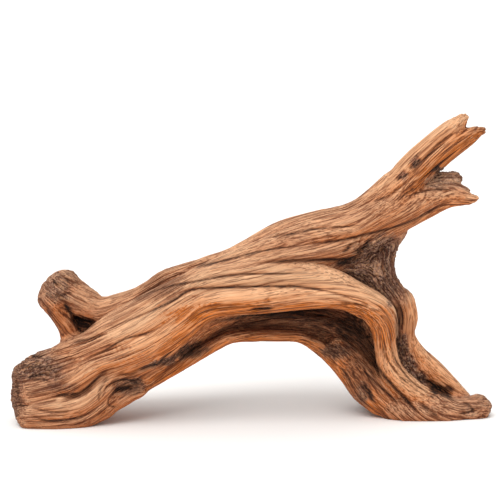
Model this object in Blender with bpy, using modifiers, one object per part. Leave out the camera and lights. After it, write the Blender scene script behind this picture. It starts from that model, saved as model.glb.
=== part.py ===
"""A piece of driftwood: a bleached root or branch that stands on two feet, with an arch between them.

The wood grew as one piece, so it is one solid. It is modelled the way it grew, as a bundle of long wood
strands that run side by side from the left foot, along the trunk, and either up into the broken prongs or
down into the right leg. Each strand is a swept tube with its own smooth centreline and thickness. The tubes
are fused by a voxel remesh, eased into each other, and sawn flat where the two feet stand.

Frame: +X along the wood, towards the prongs; -Y is the front; +Z is up from the surface it stands on. The
origin is on that surface, under the middle of the wood's box.
"""

import math

import bmesh
import bpy
import numpy as np
from mathutils import Vector

NAME = "driftwood"
MM = 0.001

# Driving sizes, in millimetres.
VOXEL = 2.6  # grid that fuses the strands
EASE_PASSES = 7  # smoothing passes that round the joins between strands
KEPT_SHARE = 0.088  # share of the fused mesh's triangles that the finished solid keeps
STATION_GAP = 7.0  # distance between the rings of a tube
DOME_RINGS = 4  # rings in the dome that closes each end of a tube
TUBE_SIDES = 5  # bevel_resolution of a tube: 4 sides more than twice this
MIDDLE = (1.8, 21.0)  # X and Y of the middle of the bundle's box, moved to the origin

# Wood strands: (x, y, z, radius) along each centreline, in millimetres. Left is -x, the front is -y.
HEART = {
    "heartwood": [(-204, -3, 30, 33), (-157, 0, 56, 35), (-107, 4, 83, 36), (-57, 12, 117, 34),
                  (-7, 18, 139, 34), (43, 22, 156, 36), (83, 24, 176, 34), (118, 24, 196, 28),
                  (148, 24, 218, 20)],
}
TRUNK_FRONT = {
    "crown": [(-147, 4, 112, 12), (-122, 4, 118, 13), (-102, 6, 129, 13), (-82, 8, 142, 13),
              (-52, 8, 151, 13), (-22, 8, 161, 13), (8, 8, 176, 14), (33, 8, 189, 14), (68, 8, 199, 14),
              (98, 10, 207, 13), (120, 12, 219, 13), (138, 12, 237, 11)],
    "upper_face": [(-190, -16, 71, 10), (-162, -18, 84, 11), (-142, -20, 101, 11), (-102, -20, 125, 11),
                   (-52, -14, 147, 12), (-2, -8, 168, 13), (48, -4, 187, 14), (98, 0, 198, 14),
                   (133, 6, 216, 13), (158, 12, 236, 10)],
    "torn_shelf": [(-132, -26, 92, 9), (-82, -26, 122, 10), (-42, -22, 146, 10), (-2, -18, 158, 10),
                   (38, -16, 169, 10), (70, -12, 174, 9), (96, -7, 179, 8)],
    "pale_band": [(-170, -22, 74, 10), (-122, -26, 98, 12), (-82, -25, 124, 12), (-42, -22, 144, 12),
                  (-2, -20, 149, 12), (38, -19, 151, 12), (78, -16, 146, 12), (105, -13, 134, 10),
                  (129, -9, 121, 8), (139, -4, 107, 7), (142, 0, 90, 6)],
}
FRONT_RIDGE = {
    "front_ridge": [(-178, -28, 44, 11), (-160, -28, 60, 13), (-132, -25, 73, 17), (-102, -21, 89, 21),
                    (-72, -22, 110, 18), (-47, -24, 126, 15), (-2, -25, 129, 15), (48, -24, 131, 12),
                    (88, -21, 130, 12), (113, -16, 120, 12), (129, -10, 102, 12), (134, -3, 78, 11),
                    (140, 1, 53, 12), (156, 4, 33, 13), (178, 8, 17, 12), (198, 12, 8, 11)],
    "ridge_lip": [(-88, -22, 77, 9), (-70, -25, 94, 9), (-50, -26, 110, 8), (-30, -27, 119, 7),
                  (8, -27, 122, 7), (45, -26, 125, 7), (70, -24, 127, 7), (90, -21, 126, 7),
                  (108, -16, 119, 8)],
}
HOLLOW = {
    "hollow_wall": [(-108, 10, 50, 12), (-85, 16, 61, 13), (-60, 20, 76, 14), (-34, 23, 89, 15),
                    (-2, 27, 98, 16), (38, 29, 98, 17), (73, 33, 88, 18), (101, 38, 73, 19),
                    (120, 41, 48, 19), (132, 41, 24, 20)],
    "arch_rim": [(-182, -14, 8, 12), (-152, -13, 18, 12), (-122, -12, 34, 10), (-92, -9, 48, 8),
                 (-62, -5, 63, 6), (-37, -2, 77, 6), (-14, 2, 85, 6), (38, 8, 84, 6), (58, 10, 78, 6),
                 (80, 12, 63, 8), (99, 12, 43, 10), (112, 10, 26, 11), (129, 8, 14, 12)],
}
LEG = {
    "leg_shin": [(88, 15, 72, 10), (107, 13, 52, 11), (124, 12, 32, 12), (141, 11, 15, 13),
                 (158, 10, 1, 12)],
    "leg_groove": [(146, 22, 104, 8), (147, 22, 79, 8), (154, 24, 56, 9), (170, 26, 35, 10),
                   (193, 30, 18, 10)],
    "leg_calf": [(156, 18, 117, 10), (159, 20, 101, 10), (158, 24, 81, 9), (168, 28, 60, 12),
                 (186, 31, 41, 14), (203, 33, 24, 13), (216, 33, 12, 11)],
    "toe": [(200, 17, 6, 12), (216, 15, 7, 12), (231, 13, 9, 14)],
    "instep": [(144, 5, 7, 12), (170, 1, 8, 13), (198, 3, 7, 13), (220, 8, 6, 12)],
    "leg_back": [(124, 42, 108, 20), (132, 48, 84, 20), (150, 52, 54, 22), (170, 54, 28, 22),
                 (190, 54, 12, 18)],
    "heel": [(112, 48, 50, 13), (126, 54, 30, 17), (144, 62, 16, 18), (168, 66, 11, 17)],
}
WEB = {
    "web_edge": [(146, 22, 192, 11), (136, 20, 174, 10), (133, 19, 157, 11), (134, 19, 139, 12),
                 (148, 20, 121, 12)],
    "web_sheet": [(93, 14, 158, 14), (113, 15, 152, 15), (133, 17, 134, 13)],
    "web_back": [(120, 34, 196, 18), (126, 36, 168, 16), (132, 37, 138, 16), (140, 40, 108, 16)],
}
PRONGS = {
    "upper_prong_top": [(120, 14, 216, 12), (138, 12, 234, 12), (160, 12, 259, 12), (183, 14, 280, 11),
                        (200, 15, 294, 10), (209, 15, 303, 6)],
    "upper_prong_low": [(143, 10, 222, 11), (166, 8, 245, 9), (188, 10, 267, 10), (210, 12, 283, 9),
                        (222, 12, 290, 7), (228, 12, 292, 5)],
    "lower_prong": [(123, 8, 204, 15), (148, 8, 212, 15), (170, 8, 222, 12), (193, 10, 227, 8),
                    (210, 12, 226, 5), (223, 12, 224, 3.5)],
    "lower_prong_keel": [(98, 12, 190, 8), (133, 12, 195, 8), (156, 12, 203, 8), (178, 12, 213, 7),
                         (198, 12, 221, 5), (216, 12, 222, 3.5)],
    "stub": [(168, 18, 238, 8), (188, 20, 242, 8), (202, 20, 243, 8)],
    "stub_step": [(178, 14, 234, 8), (198, 15, 235, 6), (211, 15, 232, 5)],
}
KNOB = {
    "knob": [(-190, 5, 133, 19), (-170, 4, 121, 16), (-150, 4, 111, 13), (-122, 4, 118, 12)],
    "knob_brow": [(-203, 0, 127, 12), (-198, -2, 136, 11), (-184, -2, 145, 10)],
    "knob_neck": [(-201, 0, 121, 11), (-194, 0, 108, 9), (-185, 0, 93, 9), (-182, 0, 76, 12)],
    "knob_back": [(-188, 12, 104, 9), (-174, 17, 100, 14), (-152, 20, 100, 17), (-122, 20, 106, 15),
                  (-92, 18, 118, 10)],
}
LEFT_FOOT = {
    "slab_top": [(-224, -8, 47, 16), (-202, -10, 57, 18), (-177, -12, 64, 16), (-152, -14, 73, 14),
                 (-122, -16, 88, 12)],
    "slab_end": [(-229, -10, 44, 12), (-229, -12, 26, 13), (-224, -14, 13, 16)],
    "fold_upper": [(-217, -22, 34, 12), (-192, -26, 39, 11), (-174, -28, 46, 11), (-160, -28, 59, 12)],
    "fold_lower": [(-214, -26, 19, 12), (-192, -30, 22, 12), (-170, -30, 26, 11), (-154, -28, 38, 11),
                   (-142, -26, 52, 9), (-122, -24, 60, 8), (-102, -22, 66, 9)],
    "eye_lid": [(-150, -22, 22, 9), (-144, -24, 34, 7), (-132, -24, 42, 6), (-118, -20, 42, 6),
                (-112, -16, 34, 5)],
    "eye_bag": [(-150, -22, 20, 9), (-132, -20, 26, 8), (-116, -16, 34, 7)],
    "sole_edge": [(-220, -26, 8, 14), (-196, -27, 7, 14), (-172, -25, 7, 12), (-150, -20, 16, 10)],
}
BACK = {
    "back_upper": [(-202, 22, 38, 24), (-152, 26, 60, 26), (-102, 30, 87, 24), (-52, 36, 117, 24),
                   (-2, 42, 138, 24), (48, 46, 156, 24), (88, 44, 174, 22), (123, 36, 198, 17),
                   (146, 28, 220, 13), (168, 22, 244, 10), (186, 19, 266, 7), (198, 17, 282, 5)],
    "back_middle": [(-170, 30, 42, 16), (-112, 34, 74, 18), (-52, 42, 104, 18), (-2, 48, 122, 18),
                    (44, 52, 132, 18), (84, 52, 128, 18), (114, 52, 108, 18), (140, 58, 70, 16)],
    "back_flute": [(-196, 42, 48, 8), (-152, 48, 74, 9), (-102, 53, 98, 10), (-52, 60, 124, 9),
                   (-2, 66, 148, 10), (48, 69, 164, 9), (88, 64, 182, 9), (122, 51, 203, 8),
                   (146, 38, 226, 6), (166, 29, 249, 4)],
    "back_rib": [(-182, 38, 22, 9), (-112, 50, 70, 9), (-52, 58, 100, 9), (-2, 65, 120, 9),
                 (54, 70, 134, 9), (94, 68, 126, 9), (124, 70, 98, 9), (148, 76, 60, 9), (170, 77, 30, 9),
                 (188, 74, 12, 8)],
    "back_lower": [(-192, 22, 17, 21), (-162, 24, 36, 16), (-112, 26, 62, 16), (-62, 30, 92, 16),
                   (-12, 36, 106, 16), (38, 42, 108, 16), (84, 47, 98, 17), (115, 52, 74, 19),
                   (137, 56, 44, 21), (156, 58, 20, 20)],
    "back_leg": [(98, 40, 136, 20), (123, 46, 118, 20), (140, 50, 90, 18), (155, 54, 60, 18),
                 (178, 58, 32, 17), (198, 56, 14, 14)],
}
STRANDS = {**HEART, **TRUNK_FRONT, **FRONT_RIDGE, **HOLLOW, **LEG, **WEB, **PRONGS, **KNOB, **LEFT_FOOT,
           **BACK}


def clear_scene():
    for old in list(bpy.data.objects):
        bpy.data.objects.remove(old)


def new_collection(name):
    collection = bpy.data.collections.new(name)
    bpy.context.scene.collection.children.link(collection)
    return collection


def weathered_wood():
    """Dry, bleached root wood: a warm brown with no gloss."""
    material = bpy.data.materials.new("weathered_wood")
    material.use_nodes = True
    shader = material.node_tree.nodes["Principled BSDF"]
    shader.inputs["Base Color"].default_value = (0.41, 0.20, 0.11, 1.0)
    shader.inputs["Roughness"].default_value = 0.75
    shader.inputs["Metallic"].default_value = 0.0
    return material


def smooth_stations(knots):
    """Points (x, y, z, radius) about STATION_GAP apart, on a Catmull-Rom curve through the knots."""
    points = np.array(knots, float)
    padded = np.vstack([2 * points[0] - points[1], points, 2 * points[-1] - points[-2]])
    stations = []
    for a, b, c, d in zip(padded, padded[1:], padded[2:], padded[3:]):
        steps = max(2, round(np.linalg.norm(c[:3] - b[:3]) / STATION_GAP))
        for t in np.arange(steps) / steps:
            stations.append(
                0.5 * (2 * b + (c - a) * t + (2 * a - 5 * b + 4 * c - d) * t**2
                       + (3 * b - a - 3 * c + d) * t**3)
            )
    return np.array(stations + [points[-1]])


def dome(end, inner):
    """Stations that round off a tube beyond its end, from the last full ring to a small cap."""
    outward = (end[:3] - inner[:3]) / np.linalg.norm(end[:3] - inner[:3])
    rings = []
    for ring in range(1, DOME_RINGS + 1):
        angle = math.radians(84) * ring / DOME_RINGS
        centre = end[:3] + outward * end[3] * math.sin(angle)
        rings.append([*centre, end[3] * math.cos(angle)])
    return rings


def strand_mesh(name, knots):
    """One strand as a mesh: a curve through its stations, swept with each station's own radius."""
    body = smooth_stations(knots)
    stations = np.array([*dome(body[0], body[1])[::-1], *body, *dome(body[-1], body[-2])])
    curve = bpy.data.curves.new(name, "CURVE")
    curve.dimensions = "3D"
    curve.bevel_depth = 1.0
    curve.bevel_resolution = TUBE_SIDES
    curve.use_fill_caps = True
    spline = curve.splines.new("POLY")
    spline.points.add(len(stations) - 1)
    for point, (x, y, z, radius) in zip(spline.points, stations):
        point.co = Vector((x - MIDDLE[0], y - MIDDLE[1], z, 1000.0)) * MM
        point.radius = radius * MM
    guide = bpy.data.objects.new(name, curve)
    bpy.context.scene.collection.objects.link(guide)
    evaluated = guide.evaluated_get(bpy.context.evaluated_depsgraph_get())
    mesh = bpy.data.meshes.new_from_object(evaluated)
    bpy.data.objects.remove(guide)
    return mesh


def bundle_of_strands():
    """All the strands' tubes in one mesh, still overlapping."""
    bundle = bmesh.new()
    for name, knots in STRANDS.items():
        tube = strand_mesh(name, knots)
        bundle.from_mesh(tube)
        bpy.data.meshes.remove(tube)
    bmesh.ops.remove_doubles(bundle, verts=bundle.verts, dist=1e-6)
    mesh = bpy.data.meshes.new(NAME)
    bundle.to_mesh(mesh)
    bundle.free()
    return mesh


def saw_block(collection):
    """The block below the floor that saws both feet flat."""
    block_size = (0.7, 0.4, 0.1)
    bpy.ops.mesh.primitive_cube_add(size=1.0, location=(0.0, 0.0, -block_size[2] / 2))
    block = bpy.context.object
    block.name = "saw_block"
    block.scale = block_size
    block.hide_render = True
    block.display_type = "WIRE"
    for holder in list(block.users_collection):
        holder.objects.unlink(block)
    collection.objects.link(block)
    return block


def build_driftwood():
    parts = new_collection(NAME + "_parts")
    cutters = new_collection("cutters")
    wood = bpy.data.objects.new(NAME, bundle_of_strands())
    parts.objects.link(wood)
    wood.data.materials.append(weathered_wood())

    fuse = wood.modifiers.new("fuse_strands", "REMESH")
    fuse.mode = "VOXEL"
    fuse.voxel_size = VOXEL * MM
    fuse.use_smooth_shade = True

    ease = wood.modifiers.new("ease_joins", "SMOOTH")
    ease.factor = 0.5
    ease.iterations = EASE_PASSES

    thin = wood.modifiers.new("thin_mesh", "DECIMATE")
    thin.ratio = KEPT_SHARE

    saw = wood.modifiers.new("saw_soles", "BOOLEAN")
    saw.operation = "DIFFERENCE"
    saw.solver = "EXACT"
    saw.object = saw_block(cutters)
    return wood


clear_scene()
build_driftwood()
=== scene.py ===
"""A piece of driftwood: one weathered root that arches over two feet, with a knob and torn, forked prongs.

The detailed wood replaces the plain CAD solid. It is grown from the same bundle of strands, fused and eased
like the real wood, and then cut with flutes, cracks, knots and torn fibres that all follow the grain.
"""

import math

import bmesh
import bpy
import numpy as np
from bpy.props import FloatProperty, FloatVectorProperty, IntProperty, PointerProperty
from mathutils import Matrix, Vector


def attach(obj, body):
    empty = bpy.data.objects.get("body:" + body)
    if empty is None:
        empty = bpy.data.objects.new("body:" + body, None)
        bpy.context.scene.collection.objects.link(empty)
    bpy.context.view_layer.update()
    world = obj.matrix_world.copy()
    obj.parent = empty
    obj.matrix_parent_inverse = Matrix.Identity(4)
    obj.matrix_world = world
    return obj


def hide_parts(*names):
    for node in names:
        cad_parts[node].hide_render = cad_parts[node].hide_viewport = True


bl_info = {
    "name": "Driftwood",
    "version": (1, 0, 0),
    "blender": (4, 5, 0),
    "location": "View3D > Sidebar > Driftwood",
    "description": "Builds a weathered driftwood root and the studio it stands in",
    "category": "Add Mesh",
}

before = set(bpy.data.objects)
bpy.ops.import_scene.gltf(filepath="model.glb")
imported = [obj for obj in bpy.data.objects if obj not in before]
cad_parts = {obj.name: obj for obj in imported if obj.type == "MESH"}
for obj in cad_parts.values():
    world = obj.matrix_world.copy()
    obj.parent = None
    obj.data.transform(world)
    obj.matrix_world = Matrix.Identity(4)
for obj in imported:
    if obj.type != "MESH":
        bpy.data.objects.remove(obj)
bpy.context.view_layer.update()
WOOD = "driftwood"
MM = 0.001

# The bundle's own middle in X and Y, which the CAD solid has at the origin.
BUNDLE_MIDDLE = np.array((1.8, 21.0, 0.0))

# Each strand: its wood, how much it leads the grain, and (x, y, z, radius) along it, in millimetres.
# A wood is (warm, pale, bark, stain and shade): how orange, how bleached, how grey and rough, and how
# dark it is from real stains and painted shade.
STRANDS = {
    "heartwood": ((0.35, 0.3, 0.15, 0.15), 1, [(-204, -3, 30, 33), (-157, 0, 56, 35), (-107, 4, 83, 36),
        (-57, 12, 117, 34), (-7, 18, 139, 34), (43, 22, 156, 36), (83, 24, 176, 34), (118, 24, 196, 28),
        (148, 24, 218, 20)]),
    "crown": ((0.35, 0.35, 0.1, 0.1), 1, [(-147, 4, 112, 12), (-122, 4, 118, 13), (-102, 6, 129, 13),
        (-82, 8, 142, 13), (-52, 8, 151, 13), (-22, 8, 161, 13), (8, 8, 176, 14), (33, 8, 189, 14),
        (68, 8, 199, 14), (98, 10, 207, 13), (120, 12, 219, 13), (138, 12, 237, 11)]),
    "upper_face": ((0.2, 0.35, 0.15, 0.05), 1, [(-190, -16, 71, 10), (-162, -18, 84, 11),
        (-142, -20, 101, 11), (-102, -20, 125, 11), (-52, -14, 147, 12), (-2, -8, 168, 13),
        (48, -4, 187, 14), (98, 0, 198, 14), (133, 6, 216, 13), (158, 12, 236, 10)]),
    "torn_shelf": ((0.15, 0.35, 0.15, 0.12), 1, [(-132, -26, 92, 9), (-82, -26, 122, 10),
        (-42, -22, 146, 10), (-2, -18, 158, 10), (38, -16, 169, 10), (70, -12, 174, 9), (96, -7, 179, 8)]),
    "pale_band": ((0.2, 0.95, 0.05, 0), 1, [(-170, -22, 74, 10), (-122, -26, 98, 12), (-82, -25, 124, 12),
        (-42, -22, 144, 12), (-2, -20, 149, 12), (38, -19, 151, 12), (78, -16, 146, 12),
        (105, -13, 134, 10), (129, -9, 121, 8), (139, -4, 107, 7), (142, 0, 90, 6)]),
    "front_ridge": ((0.8, 0.6, 0, 0), 1, [(-178, -28, 44, 11), (-160, -28, 60, 13), (-132, -25, 73, 17),
        (-102, -21, 89, 21), (-72, -22, 110, 18), (-47, -24, 126, 15), (-2, -25, 129, 15),
        (48, -24, 131, 12), (88, -21, 130, 12), (113, -16, 120, 12), (129, -10, 102, 12), (134, -3, 78, 11),
        (140, 1, 53, 12), (156, 4, 33, 13), (178, 8, 17, 12), (198, 12, 8, 11)]),
    "ridge_lip": ((1, 0.05, 0, 0.1), 1, [(-88, -22, 77, 9), (-70, -25, 94, 9), (-50, -26, 110, 8),
        (-30, -27, 119, 7), (8, -27, 122, 7), (45, -26, 125, 7), (70, -24, 127, 7), (90, -21, 126, 7),
        (108, -16, 119, 8)]),
    # The hollow's wall and floor are darkened with painted shade.
    "hollow_wall": ((0.7, 0, 0.4, 0.8), 1, [(-108, 10, 50, 12), (-85, 16, 61, 13), (-60, 20, 76, 14),
        (-34, 23, 89, 15), (-2, 27, 98, 16), (38, 29, 98, 17), (73, 33, 88, 18), (101, 38, 73, 19),
        (120, 41, 48, 19), (132, 41, 24, 20)]),
    "hollow_floor": ((0.7, 0, 0.4, 0.8), 1, [(-62, 4, 66, 6), (-37, 7, 79, 5.5), (-14, 10.5, 86, 5.5),
        (38, 17, 86, 6), (58, 19, 80, 6), (80, 21, 68, 6), (99, 23, 54, 8)]),
    "arch_rim": ((1, 0.05, 0.05, 0.1), 1, [(-182, -14, 8, 12), (-152, -13, 18, 12), (-122, -12, 34, 10),
        (-92, -9, 48, 8), (-62, -5, 63, 6), (-37, -2, 77, 6), (-14, 2, 85, 6), (38, 8, 84, 6),
        (58, 10, 78, 6), (80, 12, 63, 8), (99, 12, 43, 10), (112, 10, 26, 11), (129, 8, 14, 12)]),
    "leg_shin": ((0.7, 0.1, 0.1, 0.2), 1, [(88, 15, 72, 10), (107, 13, 52, 11), (124, 12, 32, 12),
        (141, 11, 15, 13), (158, 10, 1, 12)]),
    "leg_groove": ((0.2, 0.2, 0.8, 0.2), 1, [(146, 22, 104, 8), (147, 22, 79, 8), (154, 24, 56, 9),
        (170, 26, 35, 10), (193, 30, 18, 10)]),
    "leg_core": ((0.2, 0.1, 0.6, 0.6), 1, [(140, 24, 62, 9), (146, 25, 46, 9), (154, 27, 32, 10),
        (164, 29, 20, 10), (170, 30, 13, 10)]),
    "leg_calf": ((1, 0.5, 0, 0), 1, [(156, 18, 117, 10), (159, 20, 101, 10), (158, 24, 81, 9),
        (168, 28, 60, 12), (186, 31, 41, 14), (203, 33, 24, 13), (216, 33, 12, 11)]),
    "toe": ((0.35, 0.15, 0.35, 0.15), 1, [(200, 17, 6, 12), (216, 15, 7, 12), (231, 13, 9, 14)]),
    "instep": ((0.4, 0.2, 0.25, 0.1), 0, [(144, 5, 7, 12), (170, 1, 8, 13), (198, 3, 7, 13),
        (220, 8, 6, 12)]),
    "leg_back": ((0.4, 0.2, 0.3, 0.2), 1, [(124, 42, 108, 20), (132, 48, 84, 20), (150, 52, 54, 22),
        (170, 54, 28, 22), (190, 54, 12, 18)]),
    "heel": ((0.4, 0.2, 0.3, 0.2), 1, [(112, 48, 50, 13), (126, 54, 30, 17), (144, 62, 16, 18),
        (168, 66, 11, 17)]),
    "web_edge": ((0.3, 0.15, 0.6, 0.2), 0.6, [(146, 22, 192, 11), (136, 20, 174, 10), (133, 19, 157, 11),
        (134, 19, 139, 12), (148, 20, 121, 12)]),
    "web_sheet": ((0.1, 0.05, 0.9, 0.4), 0.6, [(93, 14, 158, 14), (113, 15, 152, 15), (133, 17, 134, 13)]),
    "web_back": ((0.3, 0.2, 0.4, 0.2), 0.6, [(120, 34, 196, 18), (126, 36, 168, 16), (132, 37, 138, 16),
        (140, 40, 108, 16)]),
    "upper_prong_top": ((0.6, 0.6, 0, 0), 1, [(120, 14, 216, 12), (138, 12, 234, 12), (160, 12, 259, 12),
        (183, 14, 280, 11), (200, 15, 294, 10), (209, 15, 303, 6)]),
    "upper_prong_low": ((0.85, 0.05, 0, 0.33), 1, [(143, 10, 222, 11), (166, 8, 245, 9), (188, 10, 267, 10),
        (210, 12, 283, 9), (222, 12, 290, 7), (228, 12, 292, 5)]),
    "lower_prong": ((0.3, 0.35, 0.05, 0.08), 1, [(123, 8, 204, 15), (148, 8, 212, 15), (170, 8, 222, 12),
        (193, 10, 227, 8), (210, 12, 226, 5), (223, 12, 224, 3.5)]),
    "lower_prong_keel": ((0.55, 0.2, 0.05, 0.05), 1, [(98, 12, 190, 8), (133, 12, 195, 8),
        (156, 12, 203, 8), (178, 12, 213, 7), (198, 12, 221, 5), (216, 12, 222, 3.5)]),
    "stub": ((0.2, 0.35, 0.6, 0.15), 1, [(168, 18, 238, 8), (188, 20, 242, 8), (202, 20, 243, 8)]),
    "stub_step": ((0.25, 0.3, 0.45, 0.15), 1, [(178, 14, 234, 8), (198, 15, 235, 6), (211, 15, 232, 5)]),
    "knob": ((0.4, 0.5, 0.2, 0.05), 1, [(-190, 5, 133, 19), (-170, 4, 121, 16), (-150, 4, 111, 13),
        (-122, 4, 118, 12)]),
    "knob_brow": ((0.35, 0.15, 0.45, 0.15), 0, [(-203, 0, 127, 12), (-198, -2, 136, 11),
        (-184, -2, 145, 10)]),
    "knob_neck": ((0.9, 0, 0.1, 0.25), 0.7, [(-201, 0, 121, 11), (-194, 0, 108, 9), (-185, 0, 93, 9),
        (-182, 0, 76, 12)]),
    "knob_back": ((0.4, 0.2, 0.4, 0.3), 1, [(-188, 12, 104, 9), (-174, 17, 100, 14), (-152, 20, 100, 17),
        (-122, 20, 106, 15), (-92, 18, 118, 10)]),
    "slab_top": ((0.25, 0.2, 0.55, 0.1), 1, [(-224, -8, 47, 16), (-202, -10, 57, 18), (-177, -12, 64, 16),
        (-152, -14, 73, 14), (-122, -16, 88, 12)]),
    "slab_end": ((0.2, 0.05, 0.7, 0.3), 0, [(-229, -10, 44, 12), (-229, -12, 26, 13), (-224, -14, 13, 16)]),
    "fold_upper": ((0.35, 0.2, 0.2, 0.2), 1, [(-217, -22, 34, 12), (-192, -26, 39, 11), (-174, -28, 46, 11),
        (-160, -28, 59, 12)]),
    "fold_lower": ((0.35, 0.65, 0.1, 0), 1, [(-214, -26, 19, 12), (-192, -30, 22, 12), (-170, -30, 26, 11),
        (-154, -28, 38, 11), (-142, -26, 52, 9), (-122, -24, 60, 8), (-102, -22, 66, 9)]),
    "eye_lid": ((0.45, 0.3, 0.1, 0), 1, [(-150, -22, 22, 9), (-144, -24, 34, 7), (-132, -24, 42, 6),
        (-118, -20, 42, 6), (-112, -16, 34, 5)]),
    "eye_bag": ((0.45, 0.15, 0.2, 0.2), 1, [(-150, -22, 20, 9), (-132, -20, 26, 8), (-116, -16, 34, 7)]),
    "sole_edge": ((0.4, 0.2, 0.2, 0.15), 1, [(-220, -26, 8, 14), (-196, -27, 7, 14), (-172, -25, 7, 12),
        (-150, -20, 16, 10)]),
    "back_upper": ((0.35, 0.35, 0.2, 0.05), 1, [(-202, 22, 38, 24), (-152, 26, 60, 26), (-102, 30, 87, 24),
        (-52, 36, 117, 24), (-2, 42, 138, 24), (48, 46, 156, 24), (88, 44, 174, 22), (123, 36, 198, 17),
        (146, 28, 220, 13), (168, 22, 244, 10), (186, 19, 266, 7), (198, 17, 282, 5)]),
    "back_middle": ((0.3, 0.1, 0.4, 0.35), 1, [(-170, 30, 42, 16), (-112, 34, 74, 18), (-52, 42, 104, 18),
        (-2, 48, 122, 18), (44, 52, 132, 18), (84, 52, 128, 18), (114, 52, 108, 18), (140, 58, 70, 16)]),
    "back_flute": ((0.25, 0.55, 0.1, 0), 1, [(-196, 42, 48, 8), (-152, 48, 74, 9), (-102, 53, 98, 10),
        (-52, 60, 124, 9), (-2, 66, 148, 10), (48, 69, 164, 9), (88, 64, 182, 9), (122, 51, 203, 8),
        (146, 38, 226, 6), (166, 29, 249, 4)]),
    "back_rib": ((0.6, 0.3, 0.1, 0.05), 1, [(-182, 38, 22, 9), (-112, 50, 70, 9), (-52, 58, 100, 9),
        (-2, 65, 120, 9), (54, 70, 134, 9), (94, 68, 126, 9), (124, 70, 98, 9), (148, 76, 60, 9),
        (170, 77, 30, 9), (188, 74, 12, 8)]),
    "back_lower": ((0.75, 0.1, 0.15, 0.15), 1, [(-192, 22, 17, 21), (-162, 24, 36, 16), (-112, 26, 62, 16),
        (-62, 30, 92, 16), (-12, 36, 106, 16), (38, 42, 108, 16), (84, 47, 98, 17), (115, 52, 74, 19),
        (137, 56, 44, 21), (156, 58, 20, 20)]),
    "back_leg": ((0.4, 0.35, 0.2, 0.1), 1, [(98, 40, 136, 20), (123, 46, 118, 20), (140, 50, 90, 18),
        (155, 54, 60, 18), (178, 58, 32, 17), (198, 56, 14, 14)]),
}
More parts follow.
